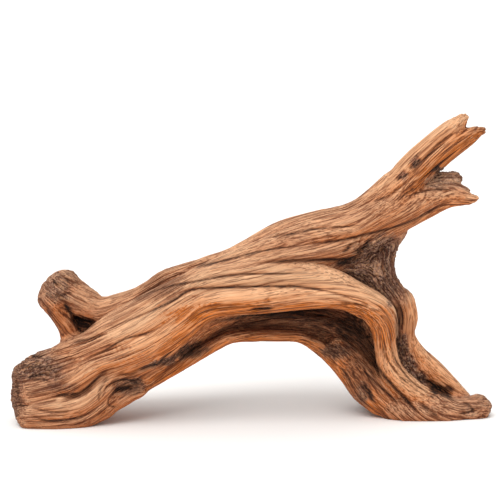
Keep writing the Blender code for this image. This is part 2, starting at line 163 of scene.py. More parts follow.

# Cracks and folds in the front: depth and half width in millimetres, how much painted shade darkens
# them from 0 to 1, and (x, z) of a few points along each, in millimetres.
CREASES = [
    (2.6, 1.2, 0.95, [(-164, 88), (-139, 102), (-101, 119), (-78, 130), (-60, 140), (-20, 142), (40, 142),
        (80, 136), (102, 128), (132, 119)]),  # above the front ridge
    (2, 1, 0.9, [(-145, 112), (-126, 122), (-101, 136), (-60, 147), (-20, 154), (30, 155), (62, 155),
        (88, 149)]),  # above the pale band
    (2, 1, 0.9, [(-80, 150), (-60, 158), (-20, 169), (20, 178), (60, 183)]),
    (3.4, 1.5, 0.8, [(40, 181), (80, 185), (98, 188), (141, 197), (170, 209), (192, 222), (214, 227)]),
    (1.8, 1, 0.9, [(0, 186), (30, 191), (60, 197), (98, 200), (125, 204)]),
    (5, 1.9, 1, [(-4, 163), (20, 166), (60, 167), (96, 167), (101, 172), (98, 176), (106, 179),
        (112, 184)]),  # under the torn shelf and round its end
    (3, 1.2, 1, [(84, 173), (92, 176), (95, 181), (103, 182)]),
    (3.6, 1.7, 1, [(98, 165), (104, 170), (101, 174), (109, 177), (113, 183), (122, 188)]),
    (2, 1.1, 0.9, [(-172, 70), (-150, 78), (-127, 91), (-101, 99), (-84, 110)]),
    (1.6, 1, 0.8, [(-187, 82), (-159, 91), (-139, 98)]),
    (1.6, 1, 0.8, [(-74, 96), (-60, 113), (-40, 121), (-10, 124), (25, 125), (60, 128)]),  # the lip
    (5, 1.8, 1, [(-6, 121), (8, 121), (22, 121)]),
    # the long fold on the foot
    (5, 3.4, 0.45, [(-204, 24), (-192, 34), (-181, 32), (-167, 38), (-157, 48), (-146, 59), (-128, 67)]),
    (2.5, 1.4, 0.9, [(-197, 33), (-186, 33), (-177, 33), (-167, 39), (-157, 49), (-148, 58), (-136, 64)]),
    (3.4, 1.8, 0.7, [(-144, 51), (-132, 54), (-120, 55), (-108, 62), (-96, 64), (-86, 72)]),
    # the shade under the lip
    (0.5, 4, 1, [(-66, 96), (-40, 103), (0, 107), (45, 109), (85, 108), (106, 98), (114, 84)]),
    (4.8, 2.2, 1, [(-122, 54), (-106, 61), (-94, 65), (-86, 74), (-76, 80)]),  # the torn pocket
    (6.5, 3, 1, [(-142, 35), (-131, 38), (-118, 40)]),  # the eye, with its lid and a knot below it
    (2.4, 1.2, 0.9, [(-151, 30), (-146, 42), (-134, 48), (-120, 46), (-111, 38)]),
    (1.4, 1, 0.8, [(-154, 22), (-153, 38), (-146, 49), (-136, 54)]),
    (1.6, 1, 0.9, [(-134, 24), (-139, 20), (-145, 23), (-144, 29), (-138, 30)]),
    (4, 2.4, 1, [(-189, 126), (-186, 114), (-178, 106)]),  # under the knob
    (6, 3.4, 1, [(-186, 106), (-172, 101), (-156, 103)]),
    (2, 1.2, 0.9, [(-224, 16), (-205, 9), (-180, 10), (-160, 15)]),
    (1.4, 1, 0.8, [(-226, 24), (-208, 19), (-190, 18), (-172, 22)]),
    (2.2, 1.5, 0.6, [(-239, 52), (-235, 30), (-230, 12)]),
    (1.6, 1.6, 0.9, [(-201, 146), (-197, 142), (-193, 141)]),  # cracks in the knob's face
    (1.4, 1.1, 0.8, [(-191, 148), (-184, 144), (-176, 140)]),
    (1.4, 1.1, 0.8, [(-202, 133), (-193, 130), (-184, 133), (-176, 130)]),
    (1.8, 1.1, 0.8, [(-225, 46), (-210, 49), (-198, 46)]),
    (1.5, 0.9, 0.9, [(-236, 66), (-222, 68), (-206, 72)]),  # between the plates of bark
    (1.5, 0.9, 0.9, [(-238, 56), (-224, 59), (-204, 61), (-196, 66)]),
    (1.5, 0.9, 0.9, [(-230, 48), (-212, 53), (-198, 52)]),
    (1.8, 1.3, 1, [(153, 254), (159, 260), (162, 266)]),  # knots on the upper prong
    (1.8, 1.2, 1, [(159, 255), (163, 262), (167, 268)]),
    (1.5, 1.2, 1, [(141, 243), (145, 247), (148, 248)]),
    (1.5, 1, 0.9, [(147, 245), (152, 250), (157, 253)]),
    (5.5, 2.4, 1, [(119, 76), (123, 58), (140, 36), (158, 17), (173, 2)]),  # beside the leg's ridge
    (3.4, 1.8, 0.8, [(164, 21), (179, 10), (192, 1)]),
    (7, 2.6, 1, [(170, 38), (182, 32), (192, 24), (209, 17)]),
    (4, 2.4, 0.7, [(144, 118), (144, 96), (147, 74), (154, 58)]),
    (1.4, 1, 0.9, [(128, 98), (129, 80), (136, 62), (150, 44), (172, 27)]),
    (1.4, 1, 0.9, [(136, 92), (138, 76), (146, 58), (160, 40), (186, 20)]),
    (1.8, 1.1, 0.9, [(102, 60), (121, 40), (142, 21), (153, 9)]),
    (1.4, 1, 0.9, [(84, 57), (94, 46), (101, 35)]),
    (3, 2, 1, [(105, 36), (111, 34), (117, 28), (120, 21), (127, 14)]),  # the knot on the foot's side
    (2.4, 1.6, 0.8, [(211, 17), (218, 15), (226, 6)]),
    (2.2, 1.2, 0.9, [(150, 246), (164, 259), (184, 280), (196, 289), (207, 298)]),  # up the prong
    (1.6, 1, 0.8, [(115, 222), (134, 229), (148, 240)]),
    (1.4, 1, 0.8, [(138, 222), (153, 232), (168, 238)]),
    (1.7, 1, 0.8, [(145, 226), (165, 232), (185, 234), (207, 232)]),
]

# Families of lines that run with the fibres: how far apart they are, their depth and half width, how far
# they wander, all in millimetres, and how much of their length shows from 0 to 1.
LINES = {
    "split": (13.0, 1.7, 0.9, 5.0, 0.32),
    "rib": (5.2, 0.6, 0.9, 4.0, 0.65),
    "line": (2.3, 0.2, 0.5, 3.0, 0.80),
}

# Splintered ends: centre, radius, the way the fibres point, and how far they stand out, in millimetres.
SPLINTERS = [
    ((208, -6, 304), 9, (0.7, 0, 0.7), 5),
    ((230, -9, 294), 9, (0.9, 0, 0.35), 5),
    ((226, -9, 225), 9, (1, 0, -0.1), 5),
    ((204, -2, 243), 11, (1, 0, 0), 5),
    ((212, -6, 231), 8, (0.95, 0, -0.3), 5),
    ((100, -30, 178), 15, (0.95, 0, 0.2), 10),
    ((132, -22, 120), 11, (0.8, 0, -0.5), 5),
    ((-94, -46, 70), 12, (-0.75, 0, -0.65), 4),
]

# Places with their own wood, some of them darkened as painted shade: centre, half sizes, the wood, and how
# strongly it shows.
PATCHES = [
    ((82, -14, 194), (56, 34, 16), (0.6, 0.7, 0, 0), 0.9),  # the crown's bare wood
    ((8, -24, 172), (60, 34, 16), (0.1, 0.75, 0, 0), 0.6),
    ((22, -48, 147), (80, 20, 11), (0.1, 0.95, 0, 0), 0.8),
    ((-84, -38, 138), (54, 28, 20), (0.4, 0, 0.25, 0.42), 0.9),  # the crown's sheltered side: unbleached wood, darkened with painted shade
    ((-150, -44, 78), (74, 30, 22), (0.35, 0.15, 0.2, 0.08), 0.9),  # the slab's face
    ((-12, -50, 116), (110, 24, 20), (1, 0, 0, 0.1), 1),  # the ridge's underside
    ((88, -46, 115), (42, 24, 18), (1, 0, 0, 0.1), 1),
    ((128, -36, 98), (24, 26, 34), (0.95, 0.2, 0, 0), 0.9),  # the leg's elbow
    ((84, -8, 69), (24, 34, 10), (0.7, 0, 0.6, 0.62), 1),  # torn wood on the rim's end
    ((108, -20, 42), (24, 22, 44), (0.8, 0, 0.25, 0.45), 1),  # the shin's sheltered side: orange wood, darkened with painted shade
    ((100, 2, 90), (24, 24, 24), (0.3, 0, 0.3, 0.95), 1),  # painted shade in the hollow's deep corner
    ((30, 0, 108), (90, 22, 9), (0.3, 0, 0.3, 0.95), 1),  # painted shade under the ridge's lip
    ((-76, -26, 74), (40, 26, 13), (0.5, 0, 0.4, 0.9), 1),  # painted shade in the pocket left of the hollow
    ((92, -20, 163), (20, 18, 8), (0.1, 0, 0.8, 0.95), 1),  # painted shade under the torn shelf's end
    ((114, -20, 176), (13, 16, 10), (0.1, 0, 0.9, 0.45), 1),  # beyond it
    ((112, -14, 154), (34, 18, 32), (0.05, 0.15, 1, 0.12), 1),  # the torn web
    ((126, -14, 172), (28, 18, 26), (0.1, 0.15, 0.9, 0.15), 1),
    ((145, -6, 104), (9, 18, 24), (0.5, 0, 0.3, 0.85), 1),  # the groove behind the leg's ridge, darkened at its top with painted shade
    ((151, -4, 72), (9, 18, 18), (0.1, 0.2, 0.9, 0.3), 1),
    ((159, -4, 51), (10, 18, 16), (0.1, 0.2, 1, 0.15), 1),
    ((170, -4, 38), (10, 18, 10), (0.1, 0.2, 1, 0.4), 1),
    ((-196, -30, 137), (17, 24, 19), (0.45, 0.45, 0.7, 0), 0.9),  # the knob's broken face
    ((-172, -8, 101), (26, 30, 15), (0.3, 0, 0.3, 1.2), 1),  # painted shade in the hole below the knob
    ((-186, -16, 118), (8, 20, 12), (0.2, 0, 0.3, 1), 1),
    ((-185, -50, 34), (22, 22, 5), (0.2, 0, 0.3, 0.5), 1),  # painted shade along the long fold on the foot
    ((-190, -50, 42), (28, 24, 9), (0.35, 0, 0.4, 0.45), 0.9),
    ((-130, -40, 41), (27, 24, 16), (0.45, 0.1, 0.5, 0.62), 1),  # painted shade round the eye
    ((-216, -45, 58), (38, 28, 16), (0.25, 0.2, 0.85, 0.1), 0.9),  # bark left on the foot
    ((-243, -25, 30), (13, 70, 46), (0.2, 0.1, 0.5, 0.48), 0.9),  # the foot's broken end
    ((-98, -36, 66), (34, 22, 11), (0.35, 0.2, 0.8, 0.45), 1),  # the torn end of the lip
    ((161, -22, 262), (8, 14, 9), (0.5, 0, 0.7, 0.1), 0.8),  # round the upper prong's knots
    ((148, -22, 249), (8, 14, 7), (0.5, 0, 0.7, 0.1), 0.8),
    ((132, -24, 121), (12, 16, 8), (0.3, 0.8, 0.8, 0), 1),  # the torn end of the pale band
    ((192, -14, 26), (24, 26, 6), (0.2, 0, 0.3, 1), 1),  # painted shade in the slit behind the ridge
    ((221, -10, 10), (14, 24, 10), (0.6, 0.2, 0.7, 0.15), 1),  # the toe's burl
    ((184, -8, 243), (28, 20, 11), (0.25, 0.9, 0.6, 0), 1),  # the torn fork
    ((180, -8, 254), (12, 20, 6), (0.2, 0, 0.8, 0.9), 1),
    ((112, -18, 27), (12, 30, 15), (0.7, 0.1, 0.6, 0.48), 0.9),  # a knot on the right foot
]

STATION_GAP = 6.0  # mm between a strand's stations
CREASE_GAP = 3.0  # mm between the points along a crease
DOME_RINGS = 4
DOME_ANGLE = math.radians(84.0)
REACH = 14.0  # mm around a strand in which it still has a say
FADE = 3.0  # mm outside a strand in which its say falls to about a third
# One ridge or dip of each kind, in millimetres: along the grain, across it and inwards.
FLUTE = (150.0, 14.0, 14.0)
FIBRE = (45.0, 3.4, 3.4)
CRUMPLE = (10.0, 5.0, 5.0)
CRUMB = 3.4  # mm, the same every way
LOOK_AT = Vector((-0.0038, -0.021, 0.174))  # what the camera looks at, near the wood's middle
VIEW_WIDTH = 0.5  # m across the view at that place
FLOOR_REACH = 400.0  # m from the floor's middle to its edges, so that none shows


def from_hex(text):
    """An sRGB colour such as "b98060" as linear red, green, blue and alpha."""
    levels = [int(text[at:at + 2], 16) / 255 for at in (0, 2, 4)]
    return (*[c / 12.92 if c <= 0.04045 else ((c + 0.055) / 1.055) ** 2.4 for c in levels], 1.0)


def smooth_line(knots, gap):
    """Points about this gap apart along the smooth curve through the knots."""
    points = np.array(knots, float)
    padded = np.vstack([2 * points[0] - points[1], points, 2 * points[-1] - points[-2]])
    stations = []
    for a, b, c, d in zip(padded, padded[1:], padded[2:], padded[3:]):
        steps = max(2, round(np.linalg.norm(c[:3] - b[:3]) / gap))
        for t in np.arange(steps) / steps:
            stations.append(
                0.5 * (2 * b + (c - a) * t + (2 * a - 5 * b + 4 * c - d) * t**2
                       + (3 * b - a - 3 * c + d) * t**3)
            )
    return np.array(stations + [points[-1]])


def dome(end, inner):
    """Stations that round off a tube beyond its end."""
    outward = (end[:3] - inner[:3]) / np.linalg.norm(end[:3] - inner[:3])
    rings = []
    for ring in range(1, DOME_RINGS + 1):
        angle = DOME_ANGLE * ring / DOME_RINGS
        rings.append([*(end[:3] + outward * end[3] * math.sin(angle)), end[3] * math.cos(angle)])
    return rings


def tube_mesh(stations):
    """A strand's mesh in metres: a curve swept with each station's own radius, closed at both ends."""
    rings = np.array([*dome(stations[0], stations[1])[::-1], *stations,
                      *dome(stations[-1], stations[-2])])
    curve = bpy.data.curves.new("strand", "CURVE")
    curve.dimensions = "3D"
    curve.bevel_depth = 1.0
    curve.bevel_resolution = 7
    curve.use_fill_caps = True
    spline = curve.splines.new("POLY")
    spline.points.add(len(rings) - 1)
    for point, (x, y, z, radius) in zip(spline.points, rings):
        point.co = Vector((x, y, z, 1000.0)) * MM
        point.radius = radius * MM
    guide = bpy.data.objects.new("strand", curve)
    bpy.context.scene.collection.objects.link(guide)
    mesh = bpy.data.meshes.new_from_object(guide.evaluated_get(bpy.context.evaluated_depsgraph_get()))
    bpy.data.objects.remove(guide)
    bpy.data.curves.remove(curve)
    return mesh


def fused_bundle(strands, grid):
    """One closed mesh round all the strands, on a grid of this size in millimetres."""
    bundle = bmesh.new()
    for stations in strands:
        tube = tube_mesh(stations)
        bundle.from_mesh(tube)
        bpy.data.meshes.remove(tube)
    mesh = bpy.data.meshes.new("bundle")
    bundle.to_mesh(mesh)
    bundle.free()
    holder = bpy.data.objects.new("bundle", mesh)
    bpy.context.scene.collection.objects.link(holder)
    remesh = holder.modifiers.new("fuse", "REMESH")
    remesh.mode = "VOXEL"
    remesh.voxel_size = grid * MM
    fused = bpy.data.meshes.new_from_object(
        holder.evaluated_get(bpy.context.evaluated_depsgraph_get()))
    bpy.data.objects.remove(holder)
    keep_largest_shell(fused)
    return fused


def keep_largest_shell(mesh):
    """Deletes the small sealed pockets that fusing leaves inside the wood."""
    shell = bmesh.new()
    shell.from_mesh(mesh)
    waiting = set(shell.verts)
    groups = []
    while waiting:
        reached = [waiting.pop()]
        for vert in reached:
            fresh = [edge.other_vert(vert) for edge in vert.link_edges]
            fresh = [other for other in fresh if other in waiting]
            waiting.difference_update(fresh)
            reached.extend(fresh)
        groups.append(reached)
    groups.sort(key=len)
    bmesh.ops.delete(shell, geom=[vert for group in groups[:-1] for vert in group], context="VERTS")
    shell.to_mesh(mesh)
    shell.free()


class Surface:
    """The wood's surface as arrays, in millimetres, for sculpting its vertices together."""

    def __init__(self, mesh):
        self.mesh = mesh
        count = len(mesh.vertices)
        places = np.empty(count * 3, np.float32)
        mesh.vertices.foreach_get("co", places)
        self.places = places.reshape(-1, 3).astype(float) / MM
        ends = np.empty(len(mesh.edges) * 2, np.int32)
        mesh.edges.foreach_get("vertices", ends)
        self.tail, self.head = ends.reshape(-1, 2).T.astype(np.int64)
        self.valence = np.bincount(self.tail, minlength=count) + np.bincount(self.head, minlength=count)
        self.write()

    def write(self):
        """Puts the places in the mesh and reads its normals again."""
        self.mesh.vertices.foreach_set("co", (self.places * MM).astype(np.float32).ravel())
        self.mesh.update()
        normals = np.empty(len(self.places) * 3, np.float32)
        self.mesh.vertex_normals.foreach_get("vector", normals)
        self.normals = normals.reshape(-1, 3).astype(float)

    def spread(self, at_edges):
        """Adds up a number at each edge: plus at its head and minus at its tail."""
        count = len(self.places)
        return np.bincount(self.head, at_edges, count) - np.bincount(self.tail, at_edges, count)

    def averaged(self, values, rounds):
        """Values at the vertices, each evened out with its neighbours this many times."""
        values = np.array(values, float)
        flat = values.reshape(len(values), -1)
        count = len(self.places)
        for _ in range(rounds):
            for column in range(flat.shape[1]):
                near = (np.bincount(self.head, flat[self.tail, column], count)
                        + np.bincount(self.tail, flat[self.head, column], count))
                flat[:, column] = 0.5 * flat[:, column] + 0.5 * near / self.valence
        return flat.reshape(values.shape)

    def follow(self, field, start, rounds, stiffness=None):
        """The number at each vertex whose rise along every edge best fits a field of directions.

        It is solved by conjugate gradients on the edges. Stiffness weighs each edge.
        """
        steps = self.places[self.head] - self.places[self.tail]
        rise = (0.5 * (field[self.head] + field[self.tail]) * steps).sum(1)
        weight = np.ones(len(rise)) if stiffness is None else stiffness
        count = len(self.places)
        scale = np.bincount(self.head, weight, count) + np.bincount(self.tail, weight, count)
        values = np.array(start, float)
        left = self.spread(weight * (rise - (values[self.head] - values[self.tail])))
        eased = left / scale
        course = eased.copy()
        power = left @ eased
        for _ in range(rounds):
            push = self.spread(weight * (course[self.head] - course[self.tail]))
            length = power / (course @ push)
            values += length * course
            left -= length * push
            eased = left / scale
            fresh = left @ eased
            course = eased + (fresh / power) * course
            power = fresh
        return values


def grain_noise(points, seed):
    """Smooth noise from about -1 to 1, with a random slope at each whole number of the points' units."""
    slopes = np.random.default_rng(seed).normal(size=(64, 64, 64, 3))
    slopes /= np.linalg.norm(slopes, axis=3, keepdims=True)
    cell = np.floor(points).astype(np.int64)
    part = points - cell
    eased = part**3 * (part * (6.0 * part - 15.0) + 10.0)
    total = np.zeros(len(points))
    for corner in np.ndindex(2, 2, 2):
        at = (cell + corner) & 63
        share = np.where(corner, eased, 1.0 - eased).prod(1)
        total += share * ((part - corner) * slopes[at[:, 0], at[:, 1], at[:, 2]]).sum(1)
    return 1.8 * total


def step_up(value, low, high):
    """0 below low, 1 above high, and smooth between."""
    part = np.clip((value - low) / (high - low), 0.0, 1.0)
    return part * part * (3.0 - 2.0 * part)


class Strand:
    """One strand's stations, and what it gives to the wood round it."""

    def __init__(self, wood, lead, knots):
        self.wood = np.array(wood)
        self.lead = lead
        self.stations = smooth_line(knots, STATION_GAP)
        self.stations[:, :3] -= BUNDLE_MIDDLE
        steps = np.gradient(self.stations[:, :3], axis=0)
        self.heading = steps / np.linalg.norm(steps, axis=1)[:, None]

    def near(self, places):
        """The places close enough to this strand to feel it."""
        low = (self.stations[:, :3] - self.stations[:, 3:]).min(0) - REACH
        high = (self.stations[:, :3] + self.stations[:, 3:]).max(0) + REACH
        return np.flatnonzero(((places > low) & (places < high)).all(1))

    def measure(self, places):
        """How far places lie outside this strand's skin, and its heading beside them."""
        centres = self.stations[:, :3]
        gaps = ((places**2).sum(1)[:, None] - 2.0 * places @ centres.T + (centres**2).sum(1))
        nearest = gaps.argmin(1)
        best = np.full(len(places), np.inf)
        heading = np.zeros((len(places), 3))
        for offset in (-1, 0):
            first = np.clip(nearest + offset, 0, len(centres) - 2)
            step = centres[first + 1] - centres[first]
            share = ((places - centres[first]) * step).sum(1) / (step**2).sum(1)
            share = np.clip(share, 0.0, 1.0)
            foot = self.stations[first] + share[:, None] * (self.stations[first + 1] - self.stations[first])
            gap = np.linalg.norm(places - foot[:, :3], axis=1) - foot[:, 3]
            closer = gap < best
            best[closer] = gap[closer]
            turn = self.heading[first] + share[:, None] * (self.heading[first + 1] - self.heading[first])
            heading[closer] = turn[closer]
        return best, heading


def bundle_field(strands, places, blend):
    """How far places lie outside the eased bundle, with the grain's heading and the wood there.

    Two strands whose skins come within the blend of each other run into one smooth join.
    """
    skin = np.full(len(places), 1e3)
    heading = np.zeros((len(places), 3))
    wood = np.zeros((len(places), 4))
    total = np.full(len(places), 1e-12)
    for strand in strands:
        near = strand.near(places)
        gap, turn = strand.measure(places[near])
        other = skin[near]
        overlap = np.maximum(blend - np.abs(other - gap), 0.0) / blend
        skin[near] = np.minimum(other, gap) - overlap * overlap * blend * 0.25
        say = np.exp(-np.maximum(gap, 0.0) / FADE)
        heading[near] += (say * strand.lead)[:, None] * turn
        wood[near] += say[:, None] * strand.wood
        total[near] += say
    length = np.linalg.norm(heading, axis=1)
    heading = np.where(length[:, None] > 1e-6, heading / np.maximum(length, 1e-6)[:, None], (1.0, 0.0, 0.0))
    return skin, heading, wood / total[:, None]


def grain_map(surface, heading):
    """Grain coordinates at each vertex, in millimetres: along the fibres, across them and inwards."""
    heading = surface.averaged(heading, 12)
    heading /= np.linalg.norm(heading, axis=1)[:, None]
    across = np.cross(heading, (0.0, 1.0, 0.0))
    across /= np.linalg.norm(across, axis=1)[:, None]
    inward = np.cross(across, heading)
    climb = across - (across * surface.normals).sum(1)[:, None] * surface.normals
    climb /= np.linalg.norm(climb, axis=1)[:, None] + 0.12
    steps = surface.places[surface.head] - surface.places[surface.tail]
    steps /= np.linalg.norm(steps, axis=1)[:, None]
    middle = 0.5 * (heading[surface.head] + heading[surface.tail])
    fibres = 1.0 + 14.0 * (middle * steps).sum(1) ** 2
    along = surface.follow(heading, surface.places[:, 0], 250)
    sideways = surface.follow(climb, surface.places[:, 2] - 0.5 * surface.places[:, 0], 700, fibres)
    depth = surface.follow(inward, -surface.places[:, 1], 200, fibres)
    return np.stack([along, sideways, depth], 1)


def distance_to_line(flat, line):
    """How far points (x, z) lie from a bent line, and how far along it from 0 to 1."""
    best = np.full(len(flat), 1e3)
    along = np.zeros(len(flat))
    line = np.array(line, float)
    lengths = np.r_[0.0, np.cumsum(np.linalg.norm(np.diff(line, axis=0), axis=1))]
    for a, b, start, end in zip(line, line[1:], lengths, lengths[1:]):
        step = b - a
        share = np.clip(((flat - a) @ step) / (step @ step), 0.0, 1.0)
        gap = np.linalg.norm(flat - a - share[:, None] * step, axis=1)
        closer = gap < best
        best[closer] = gap[closer]
        along[closer] = ((start + share * (end - start)) / lengths[-1])[closer]
    return best, along


def apply_patches(places, grain, wood):
    """The wood with each egg-shaped patch's own look laid over it, ragged along the grain."""
    ragged = 0.22 * grain_noise(grain / (16.0, 4.0, 4.0), 51) + 0.12 * grain_noise(places / 2.6, 53)
    for centre, half_sizes, look, strength in PATCHES:
        away = np.linalg.norm((places - centre) / half_sizes, axis=1)
        share = strength * step_up(1.0 - away + ragged * step_up(1.3 - away, 0.0, 0.4), 0.1, 0.5)
        wood += share[:, None] * (np.array(look) - wood)
    return wood


def splinter(places):
    """How far each place moves where the wood is torn: every fibre there ends at its own length."""
    move = np.zeros((len(places), 3))
    for centre, radius, way, reach in SPLINTERS:
        way = np.array(way) / np.linalg.norm(way)
        offset = places - centre
        share = step_up(1.0 - np.linalg.norm(offset, axis=1) / radius, 0.0, 0.5)
        side = offset - (offset @ way)[:, None] * way
        length = 0.7 * np.abs(grain_noise(side / 3.4, 31)) + 0.5 * grain_noise(side / 6.5, 33)
        move += (share * reach * length)[:, None] * way
    return move


def sculpt(surface, strands, settings):
    """Eases the joins, then cuts the flutes, cracks, folds and rough places that follow the grain.

    Returns the wood, how each vertex moves, and the numbers that the material draws the lines and the
    painted shade in the creases from.
    """
    blend = settings.join_blend / MM
    for _ in range(2):
        skin, heading, wood = bundle_field(strands, surface.places, blend)
        surface.places -= skin[:, None] * surface.normals
        surface.write()
    grain = grain_map(surface, heading)
    wood = apply_patches(surface.places, grain, wood)
    rough = step_up(wood[:, 2], 0.35, 0.9)
    calm = 1.0 - 0.7 * step_up(wood[:, 1], 0.2, 0.6)
    front = step_up(-surface.places[:, 1], -9.0, 3.0)

    # Flutes and fibres run along the grain, and torn wood is crumpled.
    lift = settings.flute_height / MM * calm * grain_noise(grain / FLUTE, 5)
    lift += settings.fibre_height / MM * grain_noise(grain / FIBRE, 9)
    crumpled = np.abs(grain_noise(grain / CRUMPLE, 15))
    crumpled += 0.8 * np.abs(grain_noise(surface.places / CRUMB, 17))
    lift += rough * settings.torn_height / MM * (1.6 * crumpled - 0.8)

    numbers = {"grain": grain}
    for seed, (name, (gap, depth, width, wander, shown)) in enumerate(LINES.items(), 40):
        drift = wander * grain_noise(grain / (90.0, 22.0, 22.0), seed)
        drift += 0.45 * gap * grain_noise(grain / (140.0, 1.6 * gap, 1.6 * gap), seed + 10)
        count = (grain[:, 1] + drift) / gap
        strength = grain_noise(grain / (55.0, 1.1 * gap, 1.1 * gap), seed + 20)
        strength = step_up(strength, 0.5 - shown, 1.0 - shown) * (1.0 - 0.6 * rough) * calm
        away = np.abs(count - np.floor(count) - 0.5) * gap
        lift -= depth * strength * np.exp(-((away / width) ** 2))
        numbers[name] = count
        numbers[name + "_strength"] = strength

    fold = np.zeros(len(surface.places))
    # How dark each crack and fold is painted, as painted shade.
    dark = np.zeros(len(surface.places))
    flat = surface.places[:, [0, 2]]
    for depth, width, darkness, knots in CREASES:
        gap, along = distance_to_line(flat, smooth_line(knots, CREASE_GAP))
        ends = step_up(along, -0.05, 0.3) * step_up(1.0 - along, -0.05, 0.3) * front
        gap /= width * (0.3 + 0.7 * ends)
        fold = np.maximum(fold, depth * ends * 0.5 * (np.exp(-((gap / 3.2) ** 2)) + np.exp(-(gap**2))))
        dark = np.maximum(dark, darkness * ends * np.exp(-(gap**2)))
    numbers["crease"] = dark
    move = lift[:, None] * surface.normals
    move[:, 1] += surface.averaged(fold, 2)
    return wood, move + splinter(surface.places), numbers


def put_numbers(mesh, name, values):
    """Stores one number, or one vector, for each vertex of the mesh."""
    kind = "FLOAT" if values.ndim == 1 else "FLOAT_VECTOR"
    layer = mesh.attributes.new(name, kind, "POINT")
    layer.data.foreach_set("value" if values.ndim == 1 else "vector", values.astype(np.float32).ravel())


def hollowness(surface, rounds):
    """How far each vertex lies below (plus) or above (minus) its smoothed surroundings, in millimetres."""
    smooth = surface.averaged(surface.places, rounds)
    return ((smooth - surface.places) * surface.normals).sum(1)


def add_node(tree, kind, inputs=None, **settings):
    """A node of this kind with its settings, and its inputs set to a value or linked to a socket."""
    node = tree.nodes.new(kind)
    for name, value in settings.items():
        setattr(node, name, value)
    for key, value in (inputs or {}).items():
        if isinstance(value, bpy.types.NodeSocket):
            tree.links.new(value, node.inputs[key])
        else:
            node.inputs[key].default_value = value
    return node


